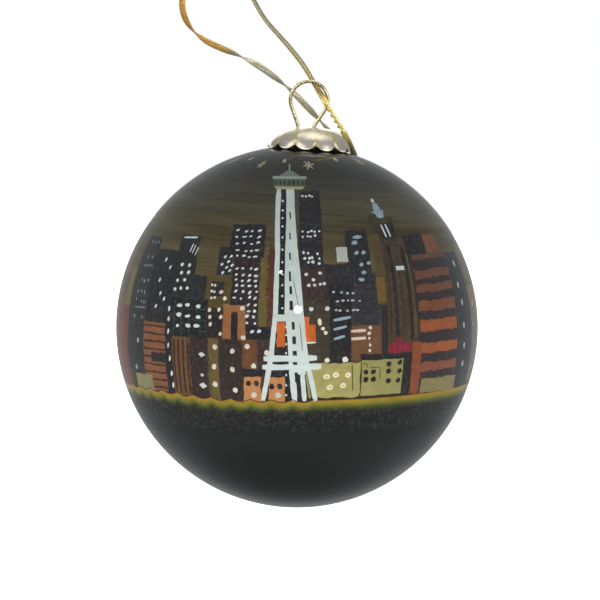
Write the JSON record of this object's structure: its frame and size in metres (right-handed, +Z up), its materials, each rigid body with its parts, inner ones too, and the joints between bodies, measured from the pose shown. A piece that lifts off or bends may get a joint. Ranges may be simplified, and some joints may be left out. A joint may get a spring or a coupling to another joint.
{
  "type": "christmas ornament",
  "caption": "Hanging glass ball ornament with a night skyline painted inside it, a scalloped metal cap, a wire ring hanger and a gold cord loop.",
  "frame": {"origin": "inside top of the wire ring, where a hook carries the ornament", "axes": "+Z up along the ball's axis, -Y towards the viewer at the middle of the painted picture, +X to the picture's right"},
  "size_m": [0.076, 0.076, 0.1144],
  "materials": {
    "glass": "clear blown glass, polished, highlights on a smooth wall",
    "base_paint": "black-charcoal paint seen through glass, very glossy",
    "skyline_paint": "brushed olive-brown night sky with small hand-painted buildings, seen through glass",
    "shoulder_paint": "dark charcoal paint with thin brush streaks, seen through glass",
    "cap_metal": "pale champagne plating, stamped, satin with bright edges",
    "wire_metal": "pale gold plated spring wire, bright",
    "gold_cord": "flat metallic gold braid, glittering where it twists"
  },
  "bodies": {
    "hanger": {"hanger_wire": "wire_metal", "gold_cord": "gold_cord", "cord_knot": "gold_cord"},
    "cap": {"metal_cap": "cap_metal"},
    "ball": {"glass_ball": "glass", "base_paint": "base_paint", "skyline_paint": "skyline_paint", "shoulder_paint": "shoulder_paint"}
  },
  "joints": [
    {"name": "wire_pull", "type": "slide", "parent": "hanger", "child": "cap", "axis": [0, 0, -1], "range_m": [0, 0.005]},
    {"name": "ball_pull_off", "type": "slide", "parent": "cap", "child": "ball", "axis": [0, 0, -1], "range_m": [0, 0.02]}
  ]
}
